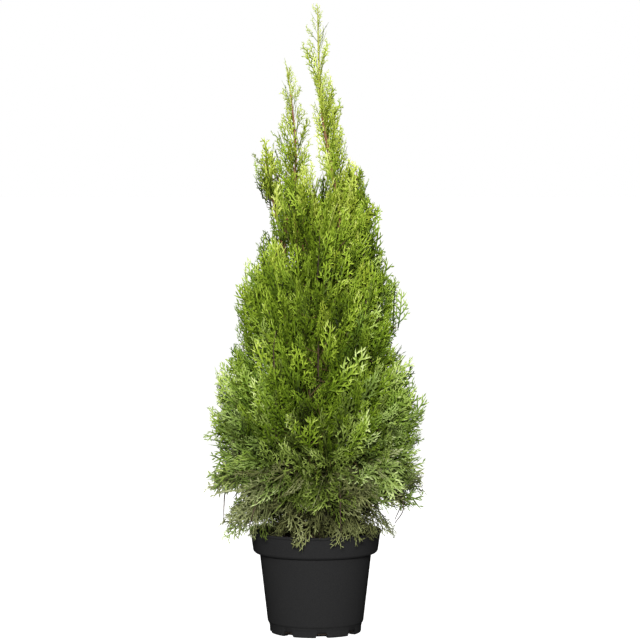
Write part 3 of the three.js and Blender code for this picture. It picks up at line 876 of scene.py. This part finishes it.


def zone_of(tips, rng):
    """The row of leaf colours for each spray: by height, with the borders mixed."""
    level = np.interp(tips[:, 2], ZONE_HEIGHTS, range(len(ZONE_HEIGHTS)))
    level += rng.normal(0, ZONE_MIX, len(tips))
    zone = np.clip(np.round(level), 0, len(ZONE_HEIGHTS) - 1).astype(np.int32)
    # sprays out to the crown's left and right take the cool rows: a cooler hue, and paler with painted side
    # light
    out_to_side = (np.abs(tips[:, 0] - CROWN_X) - SIDELIT_INNER) / (SIDELIT_OUTER - SIDELIT_INNER)
    is_cool_sidelit = (rng.random(len(tips)) < MOST_SIDELIT * np.clip(out_to_side, 0, 1)) & (zone < COOL_SIDELIT_ROWS)
    return np.where(is_cool_sidelit, zone + COOL_SIDELIT_FROM, zone)


MOST_TRIANGLES = 190_000  # in one piece


def build_pieces(name, masses, grow):
    """Grows masses into as few pieces as hold them, each standing for its own masses."""
    soup, held, number = Soup(), [], 1
    for mass in masses:
        grown = grow(mass)
        if held and soup.size() + grown.size() > MOST_TRIANGLES:
            place(soup.piece(f"{name}_{number}", LEAVES, smooth=False), held)
            soup, held, number = Soup(), [], number + 1
        soup.merge(grown)
        held.append(mass)
    place(soup.piece(f"{name}_{number}", LEAVES, smooth=False), held)


TUFT = "upper_foliage_4"  # the tuft on the second leader's bare bough


def build_foliage():
    twig_lines = []

    def grow(mass):
        tier = "tuft" if mass == TUFT else mass.split("_")[0]
        bough_end = bough_line(mass.replace("foliage", "bough"))[0][-1]
        return grow_mass(mass, tier, mass_line(mass, bough_end, tier == "skirt"), twig_lines)

    for tier in ("skirt", "lower", "middle", "upper"):
        masses = sorted(n for n in NODES if n.startswith(f"{tier}_foliage_"))
        build_pieces(f"{tier}_sprays", masses, grow)
    build_pieces("leader_sprays", list(LEADERS), lambda mass: grow_leader(mass, twig_lines))
    return twig_lines


THIN_TWIG, THICK_TWIG, TWIG_TAPER = 0.0007, 0.0016, 0.009  # least and most radius, and its growth


def build_twigs(lines):
    soup = Soup()
    for line in lines:
        length = np.linalg.norm(np.diff(line, axis=0), axis=1).sum()
        radii = np.linspace(min(THIN_TWIG + TWIG_TAPER * length, THICK_TWIG), THIN_TWIG, len(line))
        soup.add(*tube(line, unit(np.gradient(line, axis=0)), radii, 3, caps=False))
    place(soup.piece("twigs", [TWIG], smooth=True))


# ---- bark

OLD_BARK_TOP = 0.48  # the bark is old and dark up to here
GREEN_FROM = {"trunk": 0.985, "second_leader": 0.940}  # and the stem is green from here
RIDGES_PER_METRE = 26
BARK_STEP = 0.004


def bark_relief(points, sides, seed, amount, grain):
    """Long fibrous ridges: noise that runs a long way up the stem and a short way round it."""
    angles = np.linspace(0, 2 * math.pi, sides, endpoint=False)
    run = np.concatenate([[0], np.cumsum(np.linalg.norm(np.diff(points, axis=0), axis=1))])
    relief = np.ones((len(points), sides))
    for i, along in enumerate(run):
        for j, angle in enumerate(angles):
            spot = Vector((math.cos(angle) * grain, math.sin(angle) * grain, along * RIDGES_PER_METRE + seed))
            relief[i, j] += amount * noise.fractal(spot, 1.0, 2.0, 3)
    return relief


def build_stems():
    materials = [BARK, YOUNG_BARK, GREEN_SHOOT]
    for number, (name, sides) in enumerate((("trunk", 36), ("second_leader", 24))):
        middles, radii = STEMS[name]
        low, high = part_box(name)
        foot, tip = middles[0].copy(), middles[-1].copy()
        foot[2], tip[2] = low.z, high.z
        line, tangents, _ = resample(np.vstack([foot, middles, tip]), BARK_STEP)
        rims = np.concatenate([[radii[0]], radii, [0.8 * radii[-1]]])
        heights = np.concatenate([[low.z], middles[:, 2], [high.z]])
        radius = np.interp(line[:, 2], heights, rims)
        relief = bark_relief(line, sides, seed=5.0 + 4 * number, amount=0.16, grain=2.2)
        verts, tris = tube(line, tangents, radius, sides, relief)
        height = verts[tris].mean(1)[:, 2]
        shade = (height > OLD_BARK_TOP).astype(np.int32) + (height > GREEN_FROM[name])
        soup = Soup()
        soup.add(verts, tris, shade)
        place(soup.piece(f"{name}_bark", materials, smooth=True), (name,))


BOUGH_SIDES, BOUGH_TIP = 12, 0.0006  # a bough carries on inside its mass and thins to this radius


def build_boughs():
    soup = Soup()
    names = sorted(n for n in NODES if "_bough_" in n)
    for number, name in enumerate(names):
        points, radii = bough_line(name)
        inner, _, _ = mass_line(name.replace("bough", "foliage"), points[-1], name.startswith("skirt"))
        inner = inner[2:-2:4]
        line, tangents, along = resample(np.vstack([points, inner]), BARK_STEP)
        share = len(points) / (len(points) + len(inner))
        rims = [radii[0], radii[-1], 0.7 * radii[-1], BOUGH_TIP]
        radius = np.interp(along, [0, share, share + 0.05, 1], rims)
        relief = bark_relief(line, BOUGH_SIDES, seed=3.0 * number, amount=0.12, grain=1.6)
        verts, tris = tube(line, tangents, radius, BOUGH_SIDES, relief)
        soup.add(verts, tris, np.full(len(tris), int(not name.startswith("upper")), np.int32))
    place(soup.piece("boughs_bark", [YOUNG_BARK, BARK], smooth=True), names)


# ---- pot and soil

ARC_STEPS = 4


def rounded(profile):
    """A profile's points (radius, height, corner radius) with each corner turned into an arc."""
    out = []
    for i, (r, z, corner) in enumerate(profile):
        here = np.array([r, z])
        if corner == 0 or i in (0, len(profile) - 1):
            out.append(here)
            continue
        before = np.array(profile[i - 1][:2]) - here
        after = np.array(profile[i + 1][:2]) - here
        cut = min(corner, 0.45 * np.linalg.norm(before), 0.45 * np.linalg.norm(after))
        start, end = here + unit(before) * cut, here + unit(after) * cut
        t = np.linspace(0, 1, ARC_STEPS + 1)[:, None]
        out.extend((1 - t) ** 2 * start + 2 * t * (1 - t) * here + t ** 2 * end)
    return np.array(out) * MM


def revolve(profile, angles):
    """A profile turned about the Z axis. Its ends are on the axis."""
    ring = np.stack([np.cos(angles), np.sin(angles)], -1)
    inner = profile[1:-1]
    heights = np.repeat(inner[:, None, 1:2], len(angles), 1)
    verts = np.concatenate([inner[:, None, 0:1] * ring[None], heights], -1)
    ends = [[0, 0, profile[0, 1]], [0, 0, profile[-1, 1]]]
    return np.vstack([verts.reshape(-1, 3), ends]), np.vstack(ring_tris(len(inner), len(angles)))


# The pot's section in mm: radius, height and corner radius, from the middle of its underside out,
# up its outside, over the lip, down its inside and back to the middle.
POT_SECTION = [
    (0, 1.2, 0), (66, 1.2, 0.8), (69, 0, 0.8), (79, 0, 1.2), (80, 2, 1.2), (80.6, 16, 0.8), (82.6, 17.6, 0.8),
    (84, 20, 1.5), (97.6, 137, 1.0), (98.4, 139.2, 0.8), (105.4, 140.2, 1.4), (109.2, 143.6, 2.6),
    (113.6, 174.6, 0.6), (115.3, 175.6, 0.7), (116, 178.2, 0.9), (114.9, 179.9, 0.9), (112.6, 179.6, 0.8),
    (107.6, 143.4, 1.5), (96.4, 140, 1.5), (96, 137.6, 1.0), (82.2, 18, 1.5), (78.6, 4.6, 1.5), (0, 4.6, 0),
]
POT_SIDES = 160
NOTCHES = 8
NOTCH_FIRST = 278  # degrees
NOTCH_TOP, NOTCH_FOOT, NOTCH_HEIGHT = 8.0, 11.0, 8.0  # half widths and height, mm
FOOT_RADIUS, NOTCH_INNER = 80.0, 66.0  # the notches reach in from the foot's radius to this one, mm
FLOOR_OUTER, FLOOR_LOW, FLOOR_HIGH = 79, 3, 12  # the pot's floor above the foot: radius and heights, mm
FLOOR_THICKNESS = 2  # mm


def notch_height(angles):
    """How high the pot's foot is cut away at each angle."""
    step = 2 * math.pi / NOTCHES
    off = (angles - math.radians(NOTCH_FIRST) + step / 2) % step - step / 2
    across = np.abs(off) * FOOT_RADIUS
    return NOTCH_HEIGHT * np.clip((NOTCH_FOOT - across) / (NOTCH_FOOT - NOTCH_TOP), 0, 1) * MM


def pot_angles():
    """Even angles, with the notches' corners among them."""
    centres = np.radians(NOTCH_FIRST + 360 / NOTCHES * np.arange(NOTCHES))
    corners = [centres + side * half / FOOT_RADIUS for side in (-1, 1) for half in (NOTCH_TOP, NOTCH_FOOT)]
    even = np.linspace(0, 2 * math.pi, POT_SIDES, endpoint=False)
    return np.unique(np.round(np.concatenate([even, *corners]) % (2 * math.pi), 5))


def build_pot():
    verts, tris = revolve(rounded(POT_SECTION), pot_angles())
    radius = np.hypot(verts[:, 0], verts[:, 1])
    cut = notch_height(np.arctan2(verts[:, 1], verts[:, 0]))
    in_foot = radius > NOTCH_INNER * MM
    is_floor = (verts[:, 2] > FLOOR_LOW * MM) & (radius < FLOOR_OUTER * MM) & (verts[:, 2] < FLOOR_HIGH * MM)
    floor = cut + np.where(is_floor & (cut > 0), FLOOR_THICKNESS * MM, 0)
    verts[:, 2] = np.where(in_foot, np.maximum(verts[:, 2], floor), verts[:, 2])
    soup = Soup()
    soup.add(verts, tris)
    place(soup.piece("pot_shell", [POT_PLASTIC], smooth=True), ("pot",))


SOIL_SECTION = [
    (0, 5.4, 0), (76, 5.4, 0), (81, 18, 0), (95.2, 138, 0), (96, 141.6, 0), (105, 144.6, 0), (107.5, 160, 0),
    *((radius, 161, 0) for radius in (104, 92, 80, 68, 56, 44, 32, 20, 10, 0)),
]
SOIL_SIDES = 144
SURFACE_FROM = 0.159  # the soil's surface is what lies above this
LUMP_HEIGHT, LUMPS_DOWN = 0.0016, 0.0006
CRUMBS, CRUMBS_OUT_TO, CRUMB_LEVEL = 1500, 0.104, 0.1612


def build_soil():
    rng = np.random.default_rng(SEED + 1)
    verts, tris = revolve(rounded(SOIL_SECTION), np.linspace(0, 2 * math.pi, SOIL_SIDES, endpoint=False))
    top = verts[:, 2] > SURFACE_FROM
    lumps = np.array([noise.fractal(Vector(v) * 60, 1.0, 2.0, 4) for v in verts])
    verts[:, 2] = np.where(top, verts[:, 2] + LUMP_HEIGHT * lumps - LUMPS_DOWN, verts[:, 2])
    soup = Soup()
    soup.add(verts, tris)
    cube = np.array([(x, y, z) for x in (-1, 1) for y in (-1, 1) for z in (-1, 1)], float)
    faces = np.array([(0, 1, 3), (0, 3, 2), (4, 6, 7), (4, 7, 5), (0, 4, 5), (0, 5, 1), (2, 3, 7), (2, 7, 6),
                      (0, 2, 6), (0, 6, 4), (1, 5, 7), (1, 7, 3)])
    for _ in range(CRUMBS):
        reach, angle = CRUMBS_OUT_TO * math.sqrt(rng.uniform(0.02, 1)), rng.uniform(0, 2 * math.pi)
        size = rng.uniform(0.0006, 0.0022) * rng.uniform(0.6, 1.2)
        crumb = cube * rng.uniform(0.5, 1.1, (8, 1)) @ np.linalg.qr(rng.normal(size=(3, 3)))[0]
        at = [reach * math.cos(angle), reach * math.sin(angle), CRUMB_LEVEL + rng.uniform(-0.4, 0.5) * size]
        soup.add(crumb * size * [1.3, 1, 0.8] + at, faces)
    place(soup.piece("soil_surface", [COMPOST], smooth=False), ("soil",))


# ---- camera, light and floor

VIEW_X, EYE_Z, AIM_Z = 0.0078, 0.90, 0.5475
EYE_DISTANCE, VIEW_WIDTH = 5.5, 1.115

# Softboxes: where each stands, the side of its square, its power in watts and its beam in degrees.
LIGHTS = {
    "left": ((-2.1, -0.9, 2.9), 1.0, 2.0, 40),
    "right": ((2.1, -0.9, 2.9), 1.0, 1.7, 40),
    "front": ((-0.15, -4.2, 1.4), 0.6, 43, 70),
    "back": ((0.10, 4.2, 1.5), 0.6, 36, 70),
}
LIGHT_AIM = Vector((0, 0, 0.90))

CAMERA_WHITE = 1.0  # how bright the floor and the backdrop look, whatever light they give
WORLD_LIGHT, FLOOR_LIGHT, FLOOR_ALBEDO = 0.06, 0.0, 0.4
FLOOR_REACH = 30


def shine(tree, strength, socket):
    """Gives a socket this strength as a light, and plain white for what the camera sees directly."""
    path = tree.nodes.new("ShaderNodeLightPath")
    scale = tree.nodes.new("ShaderNodeMapRange")
    scale.inputs["To Min"].default_value = strength
    scale.inputs["To Max"].default_value = CAMERA_WHITE
    tree.links.new(path.outputs["Is Camera Ray"], scale.inputs["Value"])
    tree.links.new(scale.outputs["Result"], socket)


def build_stage():
    scene = bpy.context.scene
    mesh = bpy.data.meshes.new("floor")
    corners = [(x * FLOOR_REACH, y * FLOOR_REACH, 0) for x, y in ((-1, -1), (1, -1), (1, 1), (-1, 1))]
    mesh.from_pydata(corners, [], [(0, 1, 2, 3)])
    floor = bpy.data.objects.new("floor", mesh)
    pale = new_material("floor", (FLOOR_ALBEDO,) * 3, 0.9, 0.0)
    shader = pale.node_tree.nodes["Principled BSDF"]
    shader.inputs["Emission Color"].default_value = (1, 1, 1, 1)
    shine(pale.node_tree, FLOOR_LIGHT, shader.inputs["Emission Strength"])
    floor.data.materials.append(pale)
    scene.collection.objects.link(floor)
    world = bpy.data.worlds.new("studio")
    world.use_nodes = True
    background = world.node_tree.nodes["Background"]
    background.inputs["Color"].default_value = (1, 1, 1, 1)
    shine(world.node_tree, WORLD_LIGHT, background.inputs["Strength"])
    scene.world = world
    for name, (spot, size, power, beam) in LIGHTS.items():
        light = bpy.data.lights.new(name, "AREA")
        light.size, light.energy, light.spread = size, power, math.radians(beam)
        obj = bpy.data.objects.new(name, light)
        obj.location = spot
        obj.rotation_euler = (LIGHT_AIM - Vector(spot)).to_track_quat("-Z", "Y").to_euler()
        scene.collection.objects.link(obj)
    camera = bpy.data.cameras.new("camera")
    camera.lens = camera.sensor_width * EYE_DISTANCE / VIEW_WIDTH
    camera.clip_end = 100
    eye = bpy.data.objects.new("camera", camera)
    eye.location = (VIEW_X, -EYE_DISTANCE, EYE_Z)
    aim = Vector((VIEW_X, 0, AIM_Z)) - eye.location
    eye.rotation_euler = aim.to_track_quat("-Z", "Y").to_euler()
    scene.collection.objects.link(eye)
    scene.camera = eye
    scene.view_settings.view_transform = "Standard"


build_stage()
build_pot()
build_soil()
build_stems()
build_boughs()
build_twigs(build_foliage())
